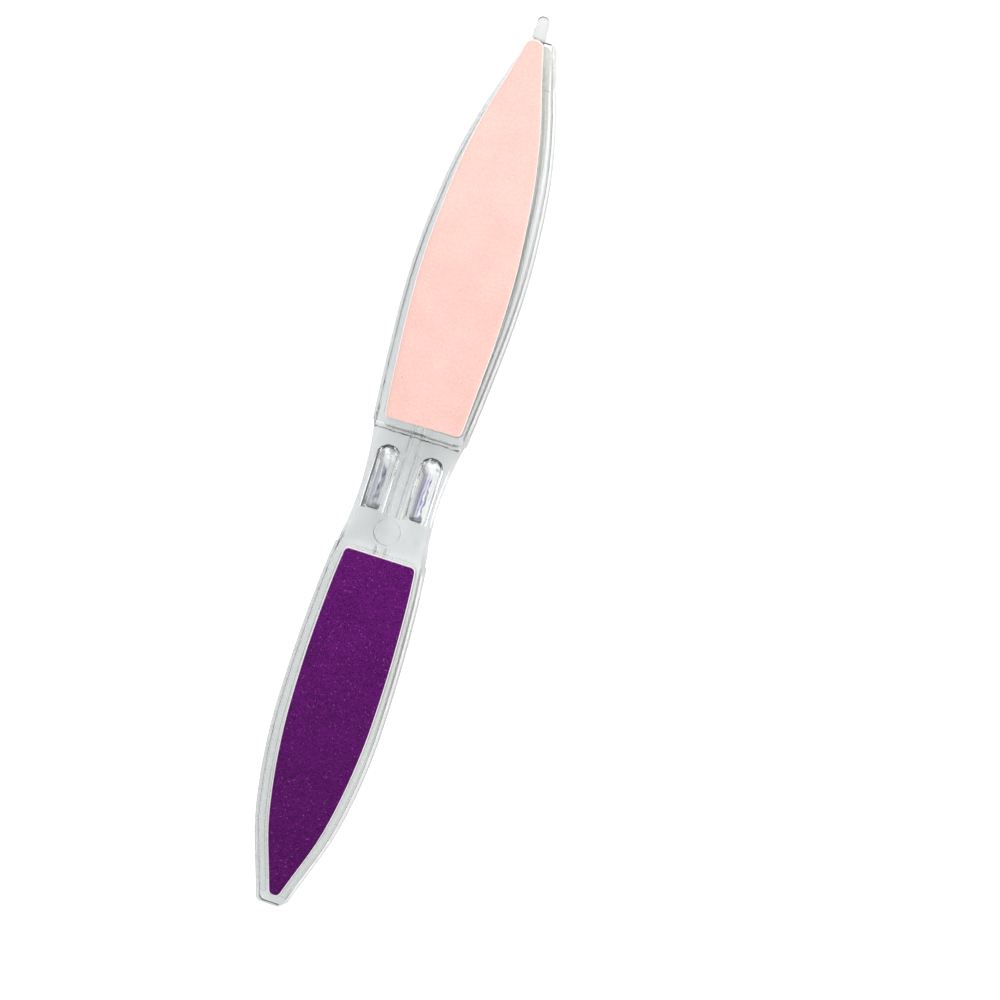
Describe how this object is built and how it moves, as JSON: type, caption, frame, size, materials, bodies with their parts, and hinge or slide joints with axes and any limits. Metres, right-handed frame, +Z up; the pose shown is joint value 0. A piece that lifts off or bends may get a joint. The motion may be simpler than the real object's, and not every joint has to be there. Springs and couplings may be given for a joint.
{
  "type": "nail buffer",
  "caption": "Clear double-ended nail buffer with leaf-shaped blades, a narrow waist with two silvery inserts, a cuticle pusher at one tip and abrasive pads on both faces.",
  "frame": {"origin": "under the middle of the buffer, on the surface it lies on, at the back pads' faces", "axes": "+Y along the buffer towards the longer blade and its cuticle pusher, +X across the blades, +Z up through the thickness to the front pads"},
  "size_m": [0.0186, 0.1504, 0.0079],
  "materials": {
    "clear_shell": "clear, polished mould finish",
    "clear_pusher": "clear, polished mould finish",
    "insert_metal": "polished",
    "adhesive": "thin double-sided adhesive film",
    "foam": "closed-cell foam with cut edges",
    "pink_grit": "abrasive sheet, peachy pink with darker specks",
    "purple_grit": "abrasive sheet, deep purple with a fine glitter",
    "grey_grit": "abrasive sheet, medium grey",
    "white_grit": "smooth buffing sheet, off-white"
  },
  "bodies": {
    "root": {"front_shell": "clear_shell", "back_shell": "clear_shell", "cuticle_pusher": "clear_pusher", "left_waist_insert": "insert_metal", "right_waist_insert": "insert_metal", "front_upper_adhesive": "adhesive", "front_upper_foam": "foam", "front_upper_abrasive": "pink_grit", "front_lower_adhesive": "adhesive", "front_lower_foam": "foam", "front_lower_abrasive": "purple_grit", "back_upper_adhesive": "adhesive", "back_upper_foam": "foam", "back_upper_abrasive": "grey_grit", "back_lower_adhesive": "adhesive", "back_lower_foam": "foam", "back_lower_abrasive": "white_grit"}
  },
  "joints": []
}
